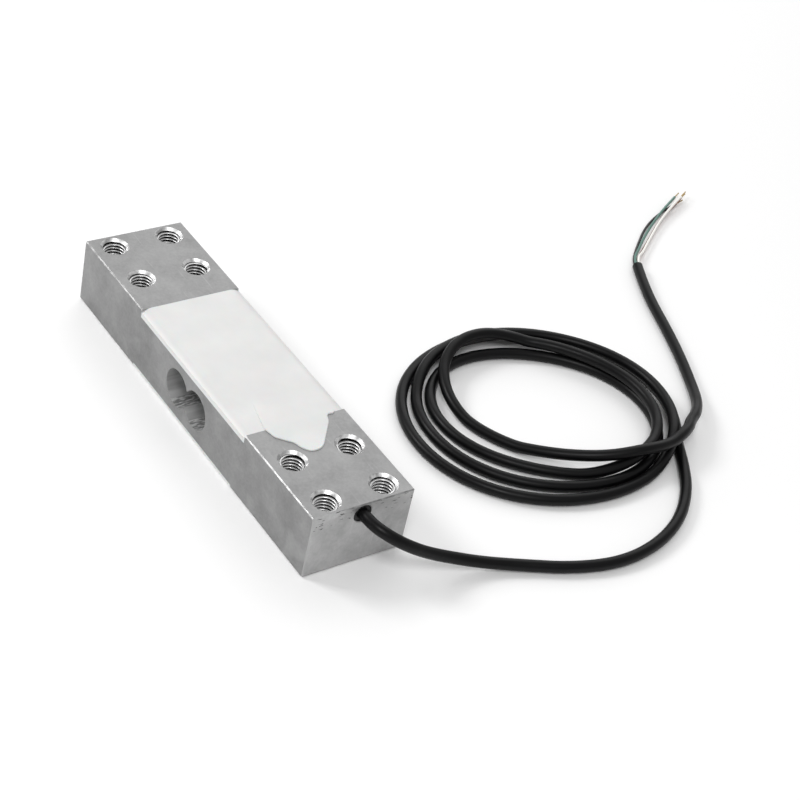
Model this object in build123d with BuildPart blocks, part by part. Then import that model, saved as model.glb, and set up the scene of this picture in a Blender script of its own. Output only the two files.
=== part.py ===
"""Single-point weighing load cell: an aluminium bending beam with a double bore, gauges sealed in
silicone, and a four-core cable that leaves one end, lies in a loose coil and ends in stripped cores.

Row frame: origin at the middle of the underside, +X towards the cable end, +Z up, millimetres.
"""

import os
from math import cos, radians, sin, tan

from build123d import *

# Beam
beam_length = 150.0
beam_width = 37.0
beam_height = 24.0
edge_break = 0.35

# Gauge recesses, milled right across the top and the underside
top_recess_length = 68.0
top_recess_depth = 3.0
bottom_recess_length = 66.0
bottom_recess_shift = -2.0
bottom_recess_depth = 1.0

# Double bore through the sides
bore_radius = 6.8
bore_spacing = 12.0
bore_shift = -1.0
bore_height = 11.3

# Tapped mounting holes, four at each end
thread_diameter = 8.0
hole_pitch_long = 19.5
hole_pitch_wide = 21.0
hole_end_offset = 6.0
countersink_depth = 0.9

# Filed corner on the top edge of the cable end
file_back = 0.8
file_down = 4.1
file_across = 15.6

# Cable entry
cable_diameter = 4.0
entry_diameter = 6.4
entry_drop = 3.9
entry_mouth_break = 0.25
seal_length = 6.0
seal_inset = 0.6
jacket_end_offset = 10.0

# Solder pocket under the sealant's tongue, and the wire duct between the two recesses
pocket_width = 8.0
pocket_length = 15.0
pocket_overlap = 3.0
pocket_floor_drop = 0.1
duct_radius = 1.5
duct_board_gap = 4.0

# Strain gauges
gauge_length = 8.0
gauge_width = 6.0
gauge_thickness = 0.15
tab_length = 1.4
tab_width = 1.2
tab_thickness = 0.1
tab_inset = 0.3
tab_spacing = 3.6

# Terminal board and its trim resistors
board_length = 10.0
board_width = 14.0
board_corner = 0.8
board_wall_gap = 4.0
resistor_length = 3.2
resistor_width = 1.6
resistor_height = 0.6
resistor_edge = 0.2
resistor_pitch = 4.6
resistor_count = 3

# Gauge wires
wire_diameter = 0.4
wire_detour = 4.2
wire_landing = 1.0
wire_sides = 4
duct_wire_near = (-0.5, 0.9)
duct_wire_far = (0.9, 0.35)

# Cable cores, inside the beam and stripped at the far end
core_diameter = 1.0
core_offset = 0.62
core_pitch = 2.1
core_landing = 2.0
core_straight = 3.0
core_rise = 5.0
conductor_diameter = 0.5
conductor_length = 5.0
core_sides = 6

# Sealant; the tongue's outline starts from the middle of the recess's end wall
shoulder_width = 3.5
shoulder_drop = 1.2
tongue_thickness = 0.45
tongue_edge = 0.2
tongue_slope = 14.0
tongue_foot = 8.0
tongue_outline = [
    (-0.6, -11.3),
    (0.9, -11.0),
    (2.5, -10.6),
    (4.1, -10.2),
    (5.1, -9.3),
    (6.5, -8.0),
    (7.7, -6.7),
    (9.0, -5.7),
    (10.5, -5.2),
    (12.0, -4.5),
    (13.1, -3.6),
    (14.0, -2.4),
    (14.2, -0.7),
    (13.8, 1.1),
    (12.6, 2.8),
    (10.7, 4.4),
    (8.2, 6.5),
    (5.4, 8.8),
    (3.1, 10.4),
    (1.2, 11.2),
    (0.6, 12.2),
    (0.8, 13.2),
    (0.2, 14.4),
    (-1.0, 14.7),
]
bottom_sealant_inset = 0.25

# Free cable, placed from the middle of the end face's lower edge: the coil on the floor, between an
# outer oval and the oval of its open middle
coil_centre = (-34.3, 100.6)
coil_long_radius = 50.6
coil_wide_radius = 46.2
coil_turned = 84.0
coil_hole_centre = (-37.4, 104.0)
coil_hole_long_radius = 31.5
coil_hole_wide_radius = 23.0
coil_hole_turned = 57.0
coil_height = 8.2
coil_edge_chamfer = 1.2
coil_stub_length = 6.5
coil_sides = 48
cord_sides = 8

# Routes of the free cable: from the beam's end face to the coil, and from the coil to the jacket's end
lead_exit_run = 5.0
lead_route = [
    (10.0, 3.1, 18.6),
    (13.0, 8.5, 15.3),
    (14.3, 16.2, 10.6),
    (16.0, 25.8, 6.4),
    (19.2, 36.6, 3.2),
    (24.2, 48.4, 2.1),
    (31.6, 63.2, 2.0),
    (35.9, 79.8, 2.0),
    (34.2, 96.6, 2.0),
    (27.8, 112.0, 2.0),
    (17.0, 124.6, 2.0),
    (5.4, 132.6, 2.0),
]
tail_route = [
    (-7.8, 145.4, 4.9),
    (-12.0, 152.4, 3.2),
    (-18.6, 158.9, 2.2),
    (-28.4, 165.0, 2.0),
    (-41.8, 171.3, 2.0),
    (-57.0, 177.4, 2.0),
    (-72.8, 182.9, 2.0),
    (-85.4, 188.5, 2.0),
    (-94.8, 193.4, 2.0),
]

# Routes of the four stripped cores, from a little past the jacket's end to the end of their insulation
core_exit_run = 4.6
core_routes = {
    "black": [
        (-104.2, 200.3, 0.7),
        (-109.6, 206.8, 0.5),
        (-114.8, 213.2, 0.5),
        (-119.2, 220.3, 0.5),
        (-122.6, 227.6, 0.5),
        (-125.0, 234.8, 0.5),
        (-126.6, 240.6, 0.5),
    ],
    "red": [
        (-102.6, 202.0, 0.7),
        (-107.2, 208.6, 0.6),
        (-112.0, 215.4, 0.6),
        (-116.8, 222.4, 0.8),
        (-121.0, 229.6, 1.2),
        (-124.6, 237.2, 1.8),
        (-128.2, 244.2, 1.5),
    ],
    "green": [
        (-103.6, 201.0, 1.9),
        (-108.6, 207.4, 1.7),
        (-113.6, 214.4, 1.6),
        (-118.2, 221.6, 1.7),
        (-122.4, 228.8, 1.9),
        (-126.2, 235.8, 1.8),
        (-130.0, 242.6, 1.2),
    ],
    "white": [
        (-102.0, 202.2, 1.9),
        (-106.6, 208.4, 1.8),
        (-111.4, 215.2, 1.8),
        (-116.2, 222.2, 2.0),
        (-120.4, 229.4, 2.4),
        (-124.2, 236.8, 3.0),
        (-127.6, 243.4, 2.9),
    ],
}

# Where each core lies inside the jacket, across and up, and its place on the terminal board
core_places = {"black": (-1, -1, -1.5), "green": (-1, 1, -0.5), "white": (1, 1, 0.5), "red": (1, -1, 1.5)}

half_length = beam_length / 2
entry_height = beam_height - entry_drop
half_width = beam_width / 2
top_floor = beam_height - top_recess_depth
bottom_floor = bottom_recess_depth
top_wall = top_recess_length / 2
bore_xs = (bore_shift - bore_spacing / 2, bore_shift + bore_spacing / 2)
hole_row_centre = half_length - hole_end_offset - hole_pitch_long / 2
pocket_start = top_wall - pocket_overlap
pocket_end = pocket_start + pocket_length
pocket_floor = entry_height - entry_diameter / 2 - pocket_floor_drop
jacket_end = top_wall + jacket_end_offset
jacket_length_inside = half_length - jacket_end
board_thickness = gauge_thickness + tab_thickness
board_top = top_floor + board_thickness
board_near = top_wall - board_wall_gap
board_far = board_near - board_length
board_x = (board_near + board_far) / 2
duct_x = board_far - duct_board_gap


def free_cord(name, route, diameter, sides):
    """A free cord's tube: straight runs joined by tangent arcs, as large as the runs allow."""
    corners = [Vector(*point) for point in route]
    radii = []
    for before, corner, after in zip(corners, corners[1:], corners[2:]):
        turn = (corner - before).get_angle(after - corner)
        run = min((corner - before).length, (after - corner).length)
        radii.append(0.45 * run / tan(radians(turn / 2)))
    with BuildPart() as tube:
        with BuildLine():
            path = FilletPolyline(*corners, radius=radii)
        with BuildSketch(Plane(origin=path @ 0, z_dir=path % 0)) as section:
            RegularPolygon(diameter / 2, sides)
        sweep()
    length = path.length
    ratio = tube.part.volume / (section.sketch.area * length)
    print(f"{name}: length {length:.1f} mm, volume over section times length {ratio:.4f}")
    print("  bend radii in diameters:", ", ".join(f"{radius / diameter:.1f}" for radius in radii))
    return tube


def bent_wire(route, diameter, sides):
    """A thin wire sealed in silicone: straight runs with mitred corners."""
    with BuildPart() as wire:
        with BuildLine():
            path = Polyline(*route)
        with BuildSketch(Plane(origin=path @ 0, x_dir=(0, 0, 1), z_dir=path % 0)):
            RegularPolygon(diameter / 2, sides, major_radius=False, rotation=180 / sides)
        sweep(transition=Transition.RIGHT)
    return wire


def oval(centre, long_radius, wide_radius, turned, sides):
    """The corners of an oval with straight sides."""
    corners = []
    for index in range(sides):
        angle = radians(360 / sides * index)
        corner = Vector(long_radius * cos(angle), wide_radius * sin(angle))
        corners.append(Vector(*centre) + corner.rotate(Axis.Z, turned))
    return corners


def write_piece(piece, name):
    piece.part.label = name
    export_step(piece.part, f"parts/{name}.step")


os.makedirs("parts", exist_ok=True)

# The beam: one block, milled, bored, drilled and tapped
with BuildPart() as beam:
    with BuildSketch(Plane.XZ):
        with Locations((0, beam_height / 2)):
            Rectangle(beam_length, beam_height)
        with Locations((0, beam_height)):
            Rectangle(top_recess_length, 2 * top_recess_depth, mode=Mode.SUBTRACT)
        with Locations((bottom_recess_shift, 0)):
            Rectangle(bottom_recess_length, 2 * bottom_recess_depth, mode=Mode.SUBTRACT)
    extrude(amount=half_width, both=True)
    ends = beam.faces().filter_by(Axis.X).sort_by(Axis.X)
    long_edges = beam.edges().filter_by(Axis.X).group_by(Axis.Z)
    chamfer(ends[0].edges() + ends[-1].edges() + long_edges[0] + long_edges[-1], edge_break)
    with BuildSketch(Plane.XZ):
        with Locations(*[(x, bore_height) for x in bore_xs]):
            Circle(bore_radius)
    extrude(amount=half_width, both=True, mode=Mode.SUBTRACT)
    with Locations((-hole_row_centre, 0, beam_height), (hole_row_centre, 0, beam_height)):
        with GridLocations(hole_pitch_long, hole_pitch_wide, 2, 2):
            Hole(thread_diameter / 2)
    mouths = beam.edges().filter_by(GeomType.CIRCLE).filter_by(Plane.XY)
    chamfer(mouths, countersink_depth)
    with BuildSketch(Plane.YZ.offset(half_length)):
        with Locations((0, entry_height)):
            Circle(entry_diameter / 2)
    extrude(amount=-jacket_length_inside, mode=Mode.SUBTRACT)
    entry_mouth = beam.edges().filter_by(GeomType.CIRCLE).filter_by(Plane.YZ).sort_by(Axis.X)[-1]
    chamfer(entry_mouth, entry_mouth_break)
    with BuildSketch(Plane.XY.offset(pocket_floor)) as pocket:
        with Locations((pocket_start, 0)):
            Rectangle(pocket_length - pocket_width / 2, pocket_width, align=(Align.MIN, Align.CENTER))
        with Locations((pocket_end - pocket_width / 2, 0)):
            Circle(pocket_width / 2)
    extrude(amount=beam_height - pocket_floor, mode=Mode.SUBTRACT)
    with BuildSketch(Plane.XY.offset(bottom_floor)):
        with Locations((duct_x, 0)):
            Circle(duct_radius)
    extrude(amount=top_floor - bottom_floor, mode=Mode.SUBTRACT)
    filed_face = Plane(
        origin=(half_length - file_back, -half_width, beam_height),
        z_dir=(1 / file_back, -1 / file_across, 1 / file_down),
    )
    split(bisect_by=filed_face, keep=Keep.BOTTOM)
write_piece(beam, "beam")


def gauge_on(floor, up, x):
    """A foil gauge on its carrier film, with two solder tabs at its cable side."""
    tab_x = x + gauge_length / 2 - tab_inset - tab_length / 2
    with BuildPart() as gauge:
        with BuildSketch(Plane(origin=(x, 0, floor), z_dir=(0, 0, up))):
            Rectangle(gauge_length, gauge_width)
        extrude(amount=gauge_thickness)
        with BuildSketch(Plane(origin=(tab_x, 0, floor + up * gauge_thickness), z_dir=(0, 0, up))):
            with Locations((0, -tab_spacing / 2), (0, tab_spacing / 2)):
                Rectangle(tab_length, tab_width)
        extrude(amount=tab_thickness)
    return gauge


gauges = {
    "top_gauge_far": gauge_on(top_floor, 1, bore_xs[0]),
    "top_gauge_near": gauge_on(top_floor, 1, bore_xs[1]),
    "bottom_gauge_far": gauge_on(bottom_floor, -1, bore_xs[0]),
    "bottom_gauge_near": gauge_on(bottom_floor, -1, bore_xs[1]),
}

# The terminal board, glued to the recess floor, level with the gauges' tabs
with BuildPart() as terminal_board:
    with BuildSketch(Plane.XY.offset(top_floor)):
        with Locations((board_x, 0)):
            RectangleRounded(board_length, board_width, board_corner)
    extrude(amount=board_thickness)

# Trim resistors, soldered across the middle of the board
resistors = {}
for index in range(resistor_count):
    with BuildPart() as resistor:
        with BuildSketch(Plane.XY.offset(board_top)):
            with Locations((board_x, (index - (resistor_count - 1) / 2) * resistor_pitch)):
                Rectangle(resistor_width, resistor_length)
        extrude(amount=resistor_height)
        fillet(resistor.edges().filter_by(Axis.X).group_by(Axis.Z)[-1], resistor_edge)
    resistors[f"trim_resistor_{index + 1}"] = resistor

# Gauge wires: straight to the board from the near gauges, round them from the far ones,
# and up through the duct from the underside
top_level = board_top + wire_diameter / 2
bottom_level = bottom_floor - gauge_thickness - tab_thickness - wire_diameter / 2
tab_xs = [x + gauge_length / 2 - tab_inset - tab_length for x in bore_xs]
landing_x = board_far + wire_landing
gauge_wires = {}
for side, word in ((-1, "left"), (1, "right")):
    inner = side * tab_spacing / 2
    outer = side * wire_detour
    clear_x = tab_xs[0] + tab_length + wire_diameter
    detour_x = bore_xs[1] - gauge_length / 2
    near_up = (duct_x + duct_wire_near[0], side * duct_wire_near[1])
    far_up = (duct_x + duct_wire_far[0], side * duct_wire_far[1])
    with BuildPart() as straight_wire:
        with BuildSketch(Plane.YZ.offset(tab_xs[1])):
            with Locations((inner, top_level)):
                RegularPolygon(wire_diameter / 2, wire_sides, major_radius=False, rotation=180 / wire_sides)
        extrude(amount=landing_x - tab_xs[1])
    gauge_wires[f"top_near_wire_{word}"] = straight_wire
    route = [(tab_xs[0], inner), (clear_x, inner), (detour_x, outer), (landing_x, outer)]
    route = [(x, y, top_level) for x, y in route]
    gauge_wires[f"top_far_wire_{word}"] = bent_wire(route, wire_diameter, wire_sides)
    route = [(tab_xs[1], inner), (duct_x - 2 * duct_radius, inner), near_up]
    route = [(x, y, bottom_level) for x, y in route]
    route += [(*near_up, top_level), (landing_x, near_up[1], top_level)]
    gauge_wires[f"bottom_near_wire_{word}"] = bent_wire(route, wire_diameter, wire_sides)
    route = [(tab_xs[0], inner), (clear_x, inner), (detour_x, outer), (far_up[0], outer), far_up]
    route = [(x, y, bottom_level) for x, y in route]
    route += [(*far_up, top_level), (landing_x, far_up[1], top_level)]
    gauge_wires[f"bottom_far_wire_{word}"] = bent_wire(route, wire_diameter, wire_sides)

# The cable's jacket inside the beam, and the potting ring that holds it in the entry
with BuildPart() as cable_in_beam:
    with BuildSketch(Plane.YZ.offset(half_length)):
        with Locations((0, entry_height)):
            Circle(cable_diameter / 2)
    extrude(amount=-jacket_length_inside)
with BuildPart() as cable_seal:
    with BuildSketch(Plane.YZ.offset(half_length - seal_inset)):
        with Locations((0, entry_height)):
            Circle(entry_diameter / 2)
            Circle(cable_diameter / 2, mode=Mode.SUBTRACT)
    extrude(amount=-seal_length)

# The four cores from the jacket's inner end up to the board
core_level = board_top + core_diameter / 2
inner_cores = {}
for colour, (across, up, place) in core_places.items():
    start = (across * core_offset, entry_height + up * core_offset)
    board_y = place * core_pitch
    route = [
        (jacket_end, *start),
        (jacket_end - core_straight, *start),
        (jacket_end - core_straight - core_rise, board_y, core_level),
        (board_near - core_landing, board_y, core_level),
    ]
    inner_cores[f"inner_core_{colour}"] = bent_wire(route, core_diameter, cord_sides)

sealed = {
    **gauges,
    "terminal_board": terminal_board,
    **resistors,
    **gauge_wires,
    **inner_cores,
    "cable_in_beam": cable_in_beam,
    "cable_seal": cable_seal,
}
for name, piece in sealed.items():
    write_piece(piece, name)

# The tongue of silicone that ran over the end pad; it rises out of the recess's own surface
with BuildPart() as tongue:
    with BuildSketch(Plane(origin=(top_wall, 0, beam_height))):
        with BuildLine():
            rim = Spline(*tongue_outline)
            foot = [(-tongue_slope, tongue_foot), (-tongue_slope, -tongue_foot)]
            Polyline(rim @ 1, *foot, rim @ 0)
        make_face()
    extrude(amount=tongue_thickness)
    chamfer(tongue.edges().group_by(Axis.Z)[-1], tongue_edge)
    slope = Plane(
        origin=(top_wall - tongue_slope, 0, beam_height),
        z_dir=(-tongue_thickness, 0, tongue_slope),
    )
    split(bisect_by=slope, keep=Keep.BOTTOM)

# Silicone on top: the recess and the solder pocket, with the tongue
with BuildPart() as top_sealant:
    with BuildSketch(Plane.YZ.offset(-top_wall)):
        with BuildLine():
            crown = half_width - shoulder_width
            shoulder = beam_height - shoulder_drop
            Polyline((-crown, beam_height), (crown, beam_height))
            TangentArc((crown, beam_height), (half_width, shoulder), tangent=(1, 0))
            Polyline((half_width, shoulder), (half_width, top_floor), (-half_width, top_floor))
            Line((-half_width, top_floor), (-half_width, shoulder))
            TangentArc((-crown, beam_height), (-half_width, shoulder), tangent=(-1, 0))
        make_face()
    extrude(amount=top_recess_length)
    add(pocket.sketch)
    extrude(pocket.sketch, amount=beam_height - pocket_floor)
    add(tongue.part)
    for piece in sealed.values():
        add(piece.part, mode=Mode.SUBTRACT)
write_piece(top_sealant, "top_sealant")

# Silicone underneath, a little below the pads' plane so that the pads carry the beam
with BuildPart() as bottom_sealant:
    with BuildSketch(Plane.XY.offset(bottom_sealant_inset)):
        with Locations((bottom_recess_shift, 0)):
            Rectangle(bottom_recess_length, beam_width)
    extrude(amount=bottom_floor - bottom_sealant_inset)
    for piece in sealed.values():
        add(piece.part, mode=Mode.SUBTRACT)
write_piece(bottom_sealant, "bottom_sealant")

# Free cable, in the frame whose origin is the middle of the end face's lower edge
reach = Vector(half_length, 0, 0)
entry = Vector(half_length, 0, entry_height)
lead_corners = [entry, entry + Vector(lead_exit_run, 0, 0)]
lead_corners += [reach + Vector(*point) for point in lead_route]
tail_corners = [reach + Vector(*point) for point in tail_route]
write_piece(free_cord("cable_lead", lead_corners, cable_diameter, cord_sides), "cable_lead")
write_piece(free_cord("cable_tail", tail_corners, cable_diameter, cord_sides), "cable_tail")

# The coil's outer shape, with a short stub of cable at its start and its end
lead_end = Plane(origin=lead_corners[-1], z_dir=lead_corners[-1] - lead_corners[-2])
tail_start = Plane(origin=tail_corners[0], z_dir=tail_corners[0] - tail_corners[1])
outer_oval = oval(coil_centre, coil_long_radius, coil_wide_radius, coil_turned, coil_sides)
inner_oval = oval(coil_hole_centre, coil_hole_long_radius, coil_hole_wide_radius, coil_hole_turned, coil_sides)
with BuildPart() as cable_coil:
    with BuildSketch():
        with Locations((half_length, 0)):
            Polygon(*outer_oval, align=None)
            Polygon(*inner_oval, align=None, mode=Mode.SUBTRACT)
    extrude(amount=coil_height)
    rims = cable_coil.faces().filter_by(Axis.Z).edges()
    chamfer(rims, coil_edge_chamfer)
    with BuildSketch(lead_end, tail_start):
        RegularPolygon(cable_diameter / 2, cord_sides)
    extrude(amount=coil_stub_length)
write_piece(cable_coil, "cable_coil")

# Stripped cores, each with the tinned end of its conductor
tip = tail_corners[-1]
onward = (tip - tail_corners[-2]).normalized()
sideways = onward.cross(Vector(0, 0, 1))
for colour, route in core_routes.items():
    across, up, place = core_places[colour]
    start = tip + sideways * (across * core_offset) + Vector(0, 0, up * core_offset)
    corners = [start, start + onward * core_exit_run]
    corners += [reach + Vector(*point) for point in route]
    write_piece(free_cord(f"core_{colour}", corners, core_diameter, core_sides), f"core_{colour}")
    with BuildPart() as conductor:
        with BuildSketch(Plane(origin=corners[-1], z_dir=corners[-1] - corners[-2])):
            RegularPolygon(conductor_diameter / 2, core_sides)
        extrude(amount=conductor_length)
    write_piece(conductor, f"conductor_{colour}")
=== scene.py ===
"""A weighing load cell on a white floor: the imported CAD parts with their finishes, the screw threads,
the soft cable with its coil, and the stripped cores. Metres, in the part's frame.
"""

from math import cos, pi, radians, sin

import bpy
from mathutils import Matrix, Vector


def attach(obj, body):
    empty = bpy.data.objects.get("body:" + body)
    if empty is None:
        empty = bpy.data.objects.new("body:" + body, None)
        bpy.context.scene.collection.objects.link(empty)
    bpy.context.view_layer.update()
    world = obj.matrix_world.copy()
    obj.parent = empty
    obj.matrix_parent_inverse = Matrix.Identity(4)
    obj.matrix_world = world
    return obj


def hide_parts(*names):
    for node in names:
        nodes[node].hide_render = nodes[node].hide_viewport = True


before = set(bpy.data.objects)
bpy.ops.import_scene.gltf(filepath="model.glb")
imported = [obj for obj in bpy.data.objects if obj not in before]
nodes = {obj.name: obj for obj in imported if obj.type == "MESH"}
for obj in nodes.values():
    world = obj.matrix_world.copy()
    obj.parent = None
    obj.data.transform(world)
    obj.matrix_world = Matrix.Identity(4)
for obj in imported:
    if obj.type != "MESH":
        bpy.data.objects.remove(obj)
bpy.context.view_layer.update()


# Beam: one bar of aluminium alloy, milled on all sides to a cloudy grey with fine marks along it. Its
# edges are broken lighter. Its ends are painted lighter and its sides a little darker than the top, to
# make up for the light each face gets. The two bores through its sides carry painted reflections in
# bands, painted shade that darkens towards the middle and painted glints along their lowest part, and
# the eight tapped holes are painted nearly black inside as shade, under bright countersinks.
hole_pair_x = 0.05925
hole_pair_half = 0.00975
hole_y = 0.0105
tapped_reach = 0.0042
countersink_reach = 0.0052
bores_x = -0.001
bores_z = 0.0113
bores_half_length = 0.014
bores_half_height = 0.0075
bores_low_z = 0.0050
end_marks_from_z = 0.0188
half_width = 0.0185
facing_square = 0.9
facing_away = 0.3


def add(tree, kind, inputs=(), **settings):
    """Adds a node with its settings. An input takes a value, a socket, or a node's first output."""
    made = tree.nodes.new(kind)
    for name, value in settings.items():
        setattr(made, name, value)
    for name, value in dict(inputs).items():
        if isinstance(value, bpy.types.Node):
            value = value.outputs[0]
        if isinstance(value, bpy.types.NodeSocket):
            tree.links.new(value, made.inputs[name])
        else:
            made.inputs[name].default_value = value
    return made


def finish(name, surface):
    """A material whose surface function returns the inputs of its Principled shader."""
    material = bpy.data.materials.new(name)
    material.use_nodes = True
    tree = material.node_tree
    tree.nodes.clear()
    shader = add(tree, "ShaderNodeBsdfPrincipled", surface(tree))
    add(tree, "ShaderNodeOutputMaterial", {"Surface": shader})
    return material


def dress(node, material):
    """Gives a CAD node its finish."""
    piece = nodes[node]
    if not piece.material_slots:
        piece.data.materials.append(material)
    for slot in piece.material_slots:
        slot.material = material


def milled_aluminium(tree):
    place = add(tree, "ShaderNodeTexCoord").outputs["Object"]
    x, y, z = add(tree, "ShaderNodeSeparateXYZ", {0: place}).outputs
    normal = add(tree, "ShaderNodeNewGeometry").outputs["True Normal"]
    facing = add(tree, "ShaderNodeVectorMath", {0: normal}, operation="ABSOLUTE")
    across, sideways, up = add(tree, "ShaderNodeSeparateXYZ", {0: facing}).outputs

    # The walls of the two bores, and their lowest part
    in_length = {0: x, 1: bores_x, 2: bores_half_length}
    in_length = add(tree, "ShaderNodeMath", in_length, operation="COMPARE")
    in_height = {0: z, 1: bores_z, 2: bores_half_height}
    in_height = add(tree, "ShaderNodeMath", in_height, operation="COMPARE")
    on_wall = add(tree, "ShaderNodeMath", {0: sideways, 1: facing_away}, operation="LESS_THAN")
    bored = add(tree, "ShaderNodeMath", {0: in_length, 1: in_height}, operation="MULTIPLY")
    bored = add(tree, "ShaderNodeMath", {0: bored, 1: on_wall}, operation="MULTIPLY")
    low = add(tree, "ShaderNodeMath", {0: z, 1: bores_low_z}, operation="LESS_THAN")
    low = add(tree, "ShaderNodeMath", {0: bored, 1: low}, operation="MULTIPLY")

    # The edges: what faces squarely in no direction and isn't the wall of a bore
    largest = add(tree, "ShaderNodeMath", {0: across, 1: sideways}, operation="MAXIMUM")
    largest = add(tree, "ShaderNodeMath", {0: largest, 1: up}, operation="MAXIMUM")
    broken = add(tree, "ShaderNodeMath", {0: largest, 1: facing_square}, operation="LESS_THAN")
    unbored = add(tree, "ShaderNodeMath", {0: 1.0, 1: bored}, operation="SUBTRACT")
    edge = add(tree, "ShaderNodeMath", {0: broken, 1: unbored}, operation="MULTIPLY")

    # The holes: folded twice, the eight of them fall on one, and its distance tells how far in
    folded = place
    for operation, amount in (
        ("MULTIPLY", (1.0, 1.0, 0.0)),
        ("ABSOLUTE", (0.0, 0.0, 0.0)),
        ("SUBTRACT", (hole_pair_x, hole_y, 0.0)),
        ("ABSOLUTE", (0.0, 0.0, 0.0)),
        ("SUBTRACT", (hole_pair_half, 0.0, 0.0)),
    ):
        folded = add(tree, "ShaderNodeVectorMath", {0: folded, 1: amount}, operation=operation)
    from_hole = add(tree, "ShaderNodeVectorMath", {0: folded}, operation="LENGTH").outputs["Value"]
    in_hole = add(tree, "ShaderNodeMath", {0: from_hole, 1: tapped_reach}, operation="LESS_THAN")
    upright = add(tree, "ShaderNodeMath", {0: up, 1: facing_away}, operation="LESS_THAN")
    # Painted shade: the holes' walls between the thread's ridges are made nearly black
    tapped = add(tree, "ShaderNodeMath", {0: in_hole, 1: upright}, operation="MULTIPLY")
    in_sink = add(tree, "ShaderNodeMath", {0: from_hole, 1: countersink_reach}, operation="LESS_THAN")
    sunk = add(tree, "ShaderNodeMath", {0: in_sink, 1: edge}, operation="MULTIPLY")

    # The cutter's marks are about half a millimetre wide. They run along the beam, across its ends
    # and through its bores, where they are wider.
    end = add(tree, "ShaderNodeMath", {0: across, 1: facing_square}, operation="GREATER_THAN")
    marks = {0: end, 4: (60, 2200, 2200), 5: (2200, 90, 1800)}
    marks = add(tree, "ShaderNodeMix", marks, data_type="VECTOR").outputs[1]
    marks = {0: bored, 4: marks, 5: (700, 30, 700)}
    marks = add(tree, "ShaderNodeMix", marks, data_type="VECTOR").outputs[1]
    grain = add(tree, "ShaderNodeVectorMath", {0: place, 1: marks}, operation="MULTIPLY")
    grain = add(tree, "ShaderNodeTexNoise", {0: grain, "Scale": 1.0, "Detail": 3.0})

    # Faces: clouds about 11 mm across, flecks of 1 mm, and a few slanting scratches
    cloud = {0: place, "Scale": 90.0, "Detail": 6.0, "Roughness": 0.65}
    cloud = add(tree, "ShaderNodeTexNoise", cloud)
    tone = add(tree, "ShaderNodeMapRange", {0: cloud, 1: 0.3, 2: 0.7, 3: 0.35, 4: 0.53})
    fleck = add(tree, "ShaderNodeTexNoise", {0: place, "Scale": 1100.0, "Detail": 2.0})
    fleck = add(tree, "ShaderNodeMapRange", {0: fleck, 1: 0.3, 2: 0.7, 3: -0.02, 4: 0.02})
    scratch = {0: place, 2: (0, 0, 0.5), 3: (60, 1500, 60)}
    scratch = add(tree, "ShaderNodeMapping", scratch, vector_type="POINT")
    scratch = add(tree, "ShaderNodeTexNoise", {0: scratch, "Scale": 1.0, "Detail": 2.0})
    scratch = add(tree, "ShaderNodeMapRange", {0: scratch, 1: 0.68, 2: 0.74, 3: 0.0, 4: 0.08})
    shade = add(tree, "ShaderNodeMath", {0: tone, 1: fleck}, operation="ADD")
    shade = add(tree, "ShaderNodeMath", {0: shade, 1: scratch}, operation="ADD")
    # Painted shade: the sides are made a little darker than the top and bottom
    on_top = add(tree, "ShaderNodeMath", {0: up, 1: 0.5}, operation="GREATER_THAN")
    side_painted_shade_level = add(tree, "ShaderNodeMix", {0: on_top, 2: 0.68, 3: 0.70}, data_type="FLOAT")
    shade = add(tree, "ShaderNodeMath", {0: shade, 1: side_painted_shade_level}, operation="MULTIPLY")

    # Ends: painted lighter, to make up for the light they get, with short dark nicks near the top edge
    nicked = add(tree, "ShaderNodeVectorMath", {0: place, 1: (1, 300, 1500)}, operation="MULTIPLY")
    nicked = add(tree, "ShaderNodeTexNoise", {0: nicked, "Scale": 1.0, "Detail": 2.0})
    nicked = add(tree, "ShaderNodeMath", {0: nicked, 1: 0.66}, operation="GREATER_THAN")
    at_top = add(tree, "ShaderNodeMath", {0: z, 1: end_marks_from_z}, operation="GREATER_THAN")
    nicked = add(tree, "ShaderNodeMath", {0: nicked, 1: at_top}, operation="MULTIPLY")
    end_painted_light_and_nicks = add(tree, "ShaderNodeMath", {0: shade, 1: 1.55}, operation="MULTIPLY")
    end_painted_light_and_nicks = add(tree, "ShaderNodeMix", {0: nicked, 2: end_painted_light_and_nicks, 3: 0.05}, data_type="FLOAT")

    # Edges are worn unevenly where they face up, and the countersinks gleam in flecks of 2 mm
    worn = add(tree, "ShaderNodeTexNoise", {0: place, "Scale": 420.0, "Detail": 3.0})
    edge_shade = add(tree, "ShaderNodeMapRange", {0: worn, 1: 0.4, 2: 0.6, 3: 0.32, 4: 0.52})
    level = add(tree, "ShaderNodeMath", {0: up, 1: facing_away}, operation="GREATER_THAN")
    edge_shade = add(tree, "ShaderNodeMix", {0: level, 2: 0.42, 3: edge_shade}, data_type="FLOAT")
    sunk_shade = add(tree, "ShaderNodeMapRange", {0: worn, 1: 0.4, 2: 0.6, 3: 0.5, 4: 0.95})

    # Bores: the cutter's marks carry painted reflections in bands along the bore, with painted shade
    # darker towards the middle of the beam, and painted glints on the lowest walls
    painted_reflection_bands = add(tree, "ShaderNodeMapRange", {0: grain, 1: 0.35, 2: 0.65, 3: 0.62, 4: 0.80})
    # Painted shade: the bore walls darken towards the middle of the beam
    from_middle = add(tree, "ShaderNodeMath", {0: y}, operation="ABSOLUTE")
    lit = {0: from_middle, 1: 0.0, 2: half_width, 3: 0.4, 4: 1.0}
    lit = add(tree, "ShaderNodeMapRange", lit)
    bore_painted_bands_and_shade = add(tree, "ShaderNodeMath", {0: painted_reflection_bands, 1: lit}, operation="MULTIPLY")
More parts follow.
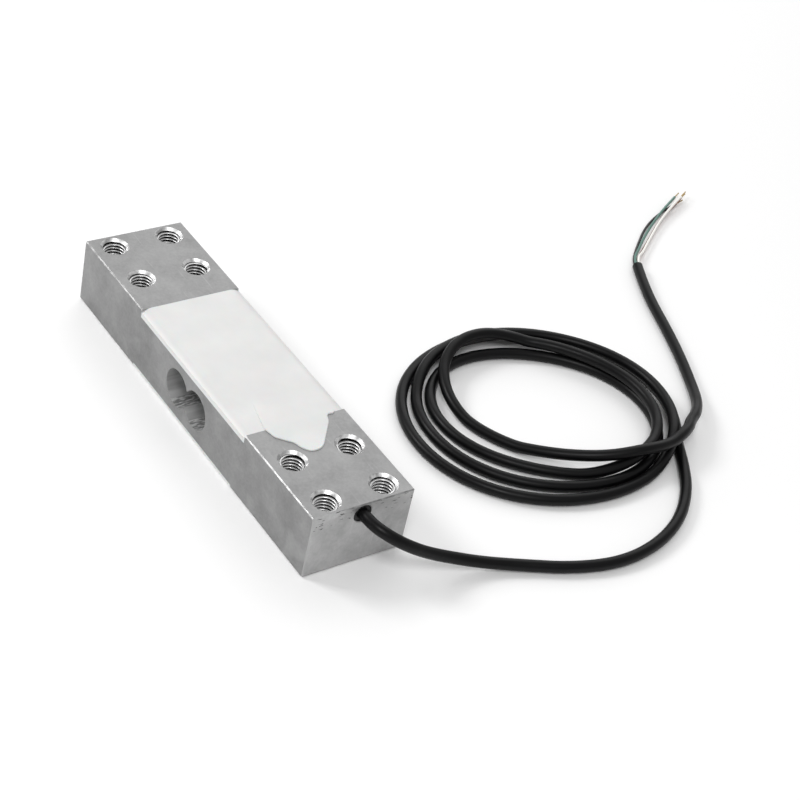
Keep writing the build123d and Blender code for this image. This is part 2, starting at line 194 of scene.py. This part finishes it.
    # Painted glints: pale streaks on the lowest part of the bore walls
    painted_glints = add(tree, "ShaderNodeVectorMath", {0: place, 1: (1500, 350, 1500)}, operation="MULTIPLY")
    painted_glints = add(tree, "ShaderNodeTexNoise", {0: painted_glints, "Scale": 1.0, "Detail": 2.0})
    painted_glints = add(tree, "ShaderNodeMapRange", {0: painted_glints, 1: 0.42, 2: 0.6, 3: 0.4, 4: 1.0})

    # Each shade covers the ones before it, and so does each roughness
    for mask, over in (
        (end, end_painted_light_and_nicks),
        (edge, edge_shade),
        (sunk, sunk_shade),
        (tapped, 0.01),
        (bored, bore_painted_bands_and_shade),
        (low, painted_glints),
    ):
        shade = add(tree, "ShaderNodeMix", {0: mask, 2: shade, 3: over}, data_type="FLOAT")
    rough = add(tree, "ShaderNodeMapRange", {0: cloud, 1: 0.3, 2: 0.7, 3: 0.42, 4: 0.52})
    for mask, over in ((edge, 0.3), (sunk, 0.42), (bored, 0.5)):
        rough = add(tree, "ShaderNodeMix", {0: mask, 2: rough, 3: over}, data_type="FLOAT")
    depth = add(tree, "ShaderNodeMix", {0: bored, 2: 0.08, 3: 0.3}, data_type="FLOAT")
    relief = {"Height": grain, "Strength": depth, "Distance": 0.0001}
    return {
        "Base Color": add(tree, "ShaderNodeCombineColor", {0: shade, 1: shade, 2: shade}),
        "Metallic": 0.95,
        "Roughness": rough,
        "Normal": add(tree, "ShaderNodeBump", relief),
    }


aluminium = finish("milled_aluminium", milled_aluminium)
dress("beam", aluminium)


# Threads: the beam's eight holes are tapped M8 through its height. Each thread is one helical ridge,
# cut in the same aluminium, that fades out at both ends near the countersinks.
thread_pitch = 0.00125
thread_root = 0.00404
thread_crest = 0.00338
thread_from = 0.0012
thread_to = 0.0230
thread_sizes = {
    "Pitch": thread_pitch,
    "Turns": (thread_to - thread_from) / thread_pitch,
    "Root Radius": thread_root,
    "Ridge Depth": thread_root - thread_crest,
    "Root Width": 0.34 * thread_pitch,
    "Crest Width": 0.10 * thread_pitch,
    "Fade Turns": 0.22,
}
steps_per_turn = 36
least_ridge = 0.02


def colour(code):
    """A display colour such as 8A8C8E, as Blender's linear colour."""
    parts = [int(code[k : k + 2], 16) / 255 for k in (0, 2, 4)]
    return [p / 12.92 if p <= 0.04045 else ((p + 0.055) / 1.055) ** 2.4 for p in parts] + [1.0]


def link(piece, material):
    """Puts a new piece on the part's one body, with its finish."""
    bpy.context.scene.collection.objects.link(piece)
    if not piece.data.materials:
        piece.data.materials.append(material)
    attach(piece, "root")
    return piece


# The ridges are painted pale and part diffuse: a painted highlight for the light they catch. They are
# smoother than the milled faces
def ridge_painted_highlight(tree):
    place = add(tree, "ShaderNodeTexCoord").outputs["Object"]
    cloud = add(tree, "ShaderNodeTexNoise", {0: place, "Scale": 900.0, "Detail": 3.0})
    rough = add(tree, "ShaderNodeMapRange", {0: cloud, 1: 0.3, 2: 0.7, 3: 0.22, 4: 0.36})
    return {"Base Color": colour("F4F4F4"), "Metallic": 0.4, "Roughness": rough}


thread_finish = finish("ridge_painted_highlight", ridge_painted_highlight)
tree = bpy.data.node_groups.new("tapped_thread", "GeometryNodeTree")
tree.interface.new_socket("Geometry", in_out="OUTPUT", socket_type="NodeSocketGeometry")
tree.interface.new_socket("Holes", in_out="INPUT", socket_type="NodeSocketGeometry")
tree.interface.new_socket("Material", in_out="INPUT", socket_type="NodeSocketMaterial")
for name in thread_sizes:
    tree.interface.new_socket(name, in_out="INPUT", socket_type="NodeSocketFloat")
given = add(tree, "NodeGroupInput").outputs
turns, root_radius, ridge_depth = given["Turns"], given["Root Radius"], given["Ridge Depth"]
rise = add(tree, "ShaderNodeMath", {0: given["Pitch"], 1: turns}, operation="MULTIPLY")
helix = {"Resolution": steps_per_turn, "Rotations": turns, "Height": rise}
helix = {**helix, "Start Radius": root_radius, "End Radius": root_radius}
helix = add(tree, "GeometryNodeCurveSpiral", helix)
helix = add(tree, "GeometryNodeSetCurveNormal", {"Curve": helix}, mode="Z_UP")

# The ridge grows from nearly nothing at both ends of the helix
along = add(tree, "GeometryNodeSplineParameter").outputs["Factor"]
back = add(tree, "ShaderNodeMath", {0: 1.0, 1: along}, operation="SUBTRACT")
grown = add(tree, "ShaderNodeMath", {0: along, 1: back}, operation="MINIMUM")
grown = add(tree, "ShaderNodeMath", {0: grown, 1: turns}, operation="MULTIPLY")
grown = {0: grown, 1: given["Fade Turns"]}
grown = add(tree, "ShaderNodeMath", grown, operation="DIVIDE", use_clamp=True)
grown = add(tree, "ShaderNodeMath", {0: grown, 1: least_ridge}, operation="MAXIMUM")

# Its section is a trapezium that stands on the helix with its narrow side towards the hole's middle
section = {"Bottom Width": given["Root Width"], "Top Width": given["Crest Width"]}
section = {**section, "Height": ridge_depth, "Offset": 0.0}
section = add(tree, "GeometryNodeCurvePrimitiveQuadrilateral", section, mode="TRAPEZOID")
half_depth = add(tree, "ShaderNodeMath", {0: ridge_depth, 1: 0.5}, operation="MULTIPLY")
seat = add(tree, "ShaderNodeCombineXYZ", {"Y": half_depth})
section = add(tree, "GeometryNodeTransform", {"Geometry": section, "Translation": seat})
inwards = (0.0, 0.0, -pi / 2)
section = add(tree, "GeometryNodeTransform", {"Geometry": section, "Rotation": inwards})
thread = {"Curve": helix, "Profile Curve": section, "Scale": grown, "Fill Caps": True}
thread = add(tree, "GeometryNodeCurveToMesh", thread)

# Each hole's thread starts at another angle, one radian on from the last
hole_number = add(tree, "GeometryNodeInputIndex")
hole_number = add(tree, "ShaderNodeMath", {0: hole_number, 1: 1.0}, operation="ADD")
start = add(tree, "ShaderNodeCombineXYZ", {"Z": hole_number})
threads = {"Points": given["Holes"], "Instance": thread, "Rotation": start}
threads = add(tree, "GeometryNodeInstanceOnPoints", threads)
threads = add(tree, "GeometryNodeRealizeInstances", {"Geometry": threads})
threads = {"Geometry": threads, "Material": given["Material"]}
threads = add(tree, "GeometryNodeSetMaterial", threads)
add(tree, "NodeGroupOutput", {"Geometry": threads})

# The tree is set on a mesh of the holes' places, and what it makes is kept as one plain mesh
hole_places = []
for pair in (-hole_pair_x, hole_pair_x):
    for x in (pair - hole_pair_half, pair + hole_pair_half):
        hole_places += [(x, -hole_y, thread_from), (x, hole_y, thread_from)]
hole_mesh = bpy.data.meshes.new("holes")
hole_mesh.from_pydata(hole_places, [], [])
holes = bpy.data.objects.new("holes", hole_mesh)
bpy.context.scene.collection.objects.link(holes)
tapping = holes.modifiers.new("tapping", "NODES")
tapping.node_group = tree
settings = {**thread_sizes, "Material": thread_finish}
for socket in tree.interface.items_tree:
    if socket.in_out == "INPUT" and socket.name in settings:
        tapping[socket.identifier] = settings[socket.name]
bpy.context.view_layer.update()
tapped_holes = holes.evaluated_get(bpy.context.evaluated_depsgraph_get())
threads_mesh = bpy.data.meshes.new_from_object(tapped_holes)
bpy.data.objects.remove(holes)
link(bpy.data.objects.new("threads", threads_mesh), thread_finish)


# Sealant: white silicone poured into the recesses over the gauges. It sets smooth, with a soft
# sheen, a faint glow under its skin, and slight waves where it was levelled by hand.
def white_silicone(tree):
    place = add(tree, "ShaderNodeTexCoord").outputs["Object"]
    wave = add(tree, "ShaderNodeTexNoise", {0: place, "Scale": 70.0, "Detail": 3.0})
    tone = add(tree, "ShaderNodeValToRGB", {0: wave})
    tone.color_ramp.elements[0].position = 0.3
    tone.color_ramp.elements[0].color = colour("D8D8D7")
    tone.color_ramp.elements[1].position = 0.7
    tone.color_ramp.elements[1].color = colour("E0E0DF")
    return {
        "Base Color": tone,
        "Roughness": 0.42,
        "Subsurface Weight": 0.15,
        "Subsurface Scale": 0.002,
        "Normal": add(tree, "ShaderNodeBump", {"Height": wave, "Strength": 0.35, "Distance": 0.0006}),
    }


silicone = finish("white_silicone", white_silicone)
dress("top_sealant", silicone)
dress("bottom_sealant", silicone)


# Parts under the sealant: gauges on amber film, the green terminal board with its trim resistors,
# and the enamelled wires, all even in colour and hidden. The black ring round the cable in its hole
# shows.
def plain(code, roughness, metallic=0.0):
    return lambda tree: {"Base Color": colour(code), "Roughness": roughness, "Metallic": metallic}


gauge_film = finish("gauge_film", plain("B4761E", 0.35))
circuit_board = finish("circuit_board", plain("1E5B34", 0.4))
resistor_body = finish("resistor_body", plain("1B1B1E", 0.5))
enamel = finish("enamelled_wire", plain("8C3A1C", 0.3))
potting = finish("potting", plain("0C0C0D", 0.6))
for node in nodes:
    if "gauge" in node:
        dress(node, gauge_film)
    if "resistor" in node:
        dress(node, resistor_body)
    if "_wire_" in node:
        dress(node, enamel)
dress("terminal_board", circuit_board)
dress("cable_seal", potting)


# Cable: black PVC jacket over four cores, held by a black ring in the end of the beam. It falls to the
# floor, lies there in four loose turns, and its cut end comes out over them.
cable_diameter = 0.004
lead_route = [
    (0.0750, 0.0, 0.0201),
    (0.0800, 0.0, 0.0201),
    (0.0850, 0.0031, 0.0186),
    (0.0880, 0.0085, 0.0153),
    (0.0893, 0.0162, 0.0106),
    (0.0910, 0.0258, 0.0064),
    (0.0942, 0.0366, 0.0032),
    (0.0992, 0.0484, 0.0021),
    (0.1066, 0.0632, 0.0020),
    (0.1109, 0.0798, 0.0020),
    (0.1092, 0.0966, 0.0020),
    (0.1028, 0.1120, 0.0020),
    (0.0920, 0.1246, 0.0020),
    (0.0804, 0.1326, 0.0020),
]
tail_route = [
    (0.0672, 0.1454, 0.0049),
    (0.0630, 0.1524, 0.0032),
    (0.0564, 0.1589, 0.0022),
    (0.0466, 0.1650, 0.0020),
    (0.0332, 0.1713, 0.0020),
    (0.0180, 0.1774, 0.0020),
    (0.0022, 0.1829, 0.0020),
    (-0.0104, 0.1885, 0.0020),
    (-0.0198, 0.1934, 0.0020),
]
coil_first = radians(53)
coil_stations = 48
coil_hold = 0.5
coil_opening = 0.011
coil_opening_share = 0.22
cable_clearance = 0.0042
cable_climb = 0.18
cable_stiff_run = 0.02
# Each turn's radius, the middle it lies round, how far it is out of round, and which way it is long
coil_turns = [
    (0.0475, (0.0403, 0.0999), 0.0029, radians(88)),
    (0.0425, (0.0395, 0.1012), 0.0022, radians(72)),
    (0.0353, (0.0405, 0.0997), 0.0035, radians(50)),
    (0.0343, (0.0366, 0.1073), 0.0050, radians(40)),
]


# The jacket is soft and nearly matt, with a fine leathery skin and a sheen that dust breaks up
def black_jacket(tree):
    place = add(tree, "ShaderNodeTexCoord").outputs["Object"]
    skin = add(tree, "ShaderNodeTexNoise", {0: place, "Scale": 1400.0, "Detail": 4.0})
    dust = add(tree, "ShaderNodeTexNoise", {0: place, "Scale": 160.0, "Detail": 4.0})
    return {
        "Base Color": colour("060607"),
        "Roughness": add(tree, "ShaderNodeMapRange", {0: dust, 1: 0.3, 2: 0.7, 3: 0.34, 4: 0.46}),
        "Specular IOR Level": 0.2,
        "Normal": add(tree, "ShaderNodeBump", {"Height": skin, "Strength": 0.12, "Distance": 0.0001}),
    }


def cord_curve(name, points, thickness):
    """A soft cord's centreline as one smooth spline, with a round section."""
    curve = bpy.data.curves.new(name, "CURVE")
    curve.dimensions = "3D"
    curve.bevel_depth = thickness / 2
    curve.bevel_resolution = 6
    curve.resolution_u = 10
    curve.use_fill_caps = True
    spline = curve.splines.new("NURBS")
    spline.points.add(len(points) - 1)
    for point, place in zip(spline.points, points):
        point.co = (*place, 1.0)
    spline.order_u = 3
    spline.use_endpoint_u = True
    return bpy.data.objects.new(name, curve)


def between(first, second, share):
    return first + (second - first) * share


def resting_height(place, under_runs):
    """The height at which the cable lies on what is under it: the floor, or the runs laid before."""
    height = cable_diameter / 2
    for start, end in under_runs:
        run = (end - start).to_2d()
        share = min(1.0, max(0.0, (place - start.to_2d()).dot(run) / run.length_squared))
        under = start.lerp(end, share)
        beside = (place - under.to_2d()).length
        if beside < cable_clearance:
            height = max(height, under.z + (cable_clearance**2 - beside**2) ** 0.5)
    return height


def lay(laid, first, place, lowest):
    """Lays the cable on to a place, and lifts the run before it in a long low hump."""
    back, apart = len(laid) - 1, 0.0
    while back > 0 and apart < cable_stiff_run:
        apart += (laid[back] - laid[back - 1]).to_2d().length
        back -= 1
    under_runs = list(zip(laid[: back + 1], laid[1 : back + 1]))
    halfway = laid[-1].to_2d().lerp(place, 0.5)
    rest = max(resting_height(place, under_runs), resting_height(halfway, under_runs))
    laid.append(Vector((*place, max(lowest, rest))))
    for k in range(len(laid) - 1, first, -1):
        run = (laid[k] - laid[k - 1]).to_2d().length
        laid[k - 1].z = max(laid[k - 1].z, laid[k].z - cable_climb * run)
        laid[k].z = max(laid[k].z, laid[k - 1].z - cable_climb * run)


jacket = finish("black_jacket", black_jacket)
laid = [Vector(point) for point in lead_route]
lead_points = len(laid)
# The blend ends just short of the last turn, so that there is always a turn after this one
last_blend = len(coil_turns) - 1.001
for station in range(len(coil_turns) * coil_stations):
    turns_done = station / coil_stations
    blended = min(max(turns_done - coil_hold, 0.0), last_blend)
    this, after, share = coil_turns[int(blended)], coil_turns[int(blended) + 1], blended % 1
    middle = Vector(this[1]).lerp(Vector(after[1]), share)
    angle = coil_first + 2 * pi * turns_done
    distance = between(this[0], after[0], share)
    long_way = between(this[3], after[3], share)
    distance += between(this[2], after[2], share) * cos(2 * (angle - long_way))
    left = len(coil_turns) - turns_done
    distance += coil_opening * max(0.0, 1 - left / coil_opening_share) ** 2
    place = middle + Vector((cos(angle), sin(angle))) * distance
    lay(laid, lead_points, place, 0.0)
for point in tail_route:
    lay(laid, lead_points, Vector(point).to_2d(), point[2])
cable_route = [tuple(point) for point in laid]
cable = cord_curve("cable", cable_route, cable_diameter)
link(cable, jacket)
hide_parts("cable_lead", "cable_coil", "cable_tail")
dress("cable_in_beam", jacket)


# Cores: four stripped cores of coloured PVC that leave the jacket's cut end, bare at their tips,
# where the copper is tinned.
core_diameter = 0.001
core_offset = 0.00062
core_exit_run = 0.0046
core_routes = {
    "black": (
        "141416",
        (-1, -1),
        (-0.0292, 0.2003, 0.0007),
        (-0.0346, 0.2068, 0.0005),
        (-0.0398, 0.2132, 0.0005),
        (-0.0442, 0.2203, 0.0005),
        (-0.0476, 0.2276, 0.0005),
        (-0.0500, 0.2348, 0.0005),
        (-0.0516, 0.2406, 0.0005),
    ),
    "red": (
        "8E4A2A",
        (1, -1),
        (-0.0276, 0.2020, 0.0007),
        (-0.0322, 0.2086, 0.0006),
        (-0.0370, 0.2154, 0.0006),
        (-0.0418, 0.2224, 0.0008),
        (-0.0460, 0.2296, 0.0012),
        (-0.0496, 0.2372, 0.0018),
        (-0.0532, 0.2442, 0.0015),
    ),
    "green": (
        "567D72",
        (-1, 1),
        (-0.0286, 0.2010, 0.0019),
        (-0.0336, 0.2074, 0.0017),
        (-0.0386, 0.2144, 0.0016),
        (-0.0432, 0.2216, 0.0017),
        (-0.0474, 0.2288, 0.0019),
        (-0.0512, 0.2358, 0.0018),
        (-0.0550, 0.2426, 0.0012),
    ),
    "white": (
        "FBF9F4",
        (1, 1),
        (-0.0270, 0.2022, 0.0019),
        (-0.0316, 0.2084, 0.0018),
        (-0.0364, 0.2152, 0.0018),
        (-0.0412, 0.2222, 0.0020),
        (-0.0454, 0.2294, 0.0024),
        (-0.0492, 0.2368, 0.0030),
        (-0.0526, 0.2434, 0.0029),
    ),
}


# Core insulation is even in colour, with a sheen that handling has made patchy
def core_finish(code):
    def surface(tree):
        place = add(tree, "ShaderNodeTexCoord").outputs["Object"]
        cloud = add(tree, "ShaderNodeTexNoise", {0: place, "Scale": 500.0, "Detail": 3.0})
        rough = add(tree, "ShaderNodeMapRange", {0: cloud, 1: 0.3, 2: 0.7, 3: 0.35, 4: 0.5})
        return {"Base Color": colour(code), "Roughness": rough}

    return surface


tinned = finish("tinned_copper", plain("9A8150", 0.28, 1.0))
jacket_tip = Vector(tail_route[-1])
onward = (jacket_tip - Vector(tail_route[-2])).normalized()
sideways = onward.cross(Vector((0, 0, 1)))
for name, (code, (across, up), *route) in core_routes.items():
    start = jacket_tip + sideways * (across * core_offset) + Vector((0, 0, up * core_offset))
    points = [tuple(start), tuple(start + onward * core_exit_run), *route]
    core = cord_curve(f"core_{name}_insulation", points, core_diameter)
    insulation = finish(f"core_{name}", core_finish(code))
    link(core, insulation)
    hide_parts(f"core_{name}")
    dress(f"inner_core_{name}", insulation)
    dress(f"conductor_{name}", tinned)


# Studio: a white floor that fills the view, a pale sky, and three soft lights: one from the left, one
# from the camera's side, and a wider one from behind. The camera was fitted to the photograph.
floor_half = 4.0
floor_height = -0.0002
sky_strength = 0.45
lit_place = (0.02, 0.08, 0.0)
camera_place = (0.4128, -0.3006, 0.4165)
camera_turn = (51.42, -10.65, 56.37)


def white_floor(tree):
    return {"Base Color": colour("FFFFFF"), "Roughness": 0.9}


def soft_light(name, place, size, power):
    """A square soft light at a place, turned towards the lit place."""
    light = bpy.data.lights.new(name, "AREA")
    light.size = size
    light.energy = power
    lamp = bpy.data.objects.new(name, light)
    lamp.location = place
    towards = Vector(lit_place) - Vector(place)
    lamp.rotation_euler = towards.to_track_quat("-Z", "Y").to_euler()
    bpy.context.scene.collection.objects.link(lamp)


floor_mesh = bpy.data.meshes.new("floor")
floor_corners = [(-1, -1), (1, -1), (1, 1), (-1, 1)]
floor_corners = [(x * floor_half, y * floor_half, floor_height) for x, y in floor_corners]
floor_mesh.from_pydata(floor_corners, [], [(0, 1, 2, 3)])
floor_mesh.materials.append(finish("floor_white", white_floor))
floor = bpy.data.objects.new("floor", floor_mesh)
bpy.context.scene.collection.objects.link(floor)

world = bpy.data.worlds.new("studio")
world.use_nodes = True
sky = world.node_tree.nodes["Background"]
sky.inputs[0].default_value = colour("FFFFFF")
sky.inputs[1].default_value = sky_strength
bpy.context.scene.world = world

soft_light("key", (-0.67, -0.61, 0.79), 0.35, 5.3)
soft_light("front", (0.58, -0.43, 0.98), 0.35, 4.5)
soft_light("back", (-0.72, 0.75, 0.80), 1.2, 5.4)

lens = bpy.data.cameras.new("photo")
lens.sensor_width = 36.0
lens.lens = 89.2
camera = bpy.data.objects.new("photo", lens)
camera.location = camera_place
camera.rotation_euler = [radians(angle) for angle in camera_turn]
bpy.context.scene.collection.objects.link(camera)
bpy.context.scene.camera = camera
bpy.context.scene.view_settings.view_transform = "Standard"
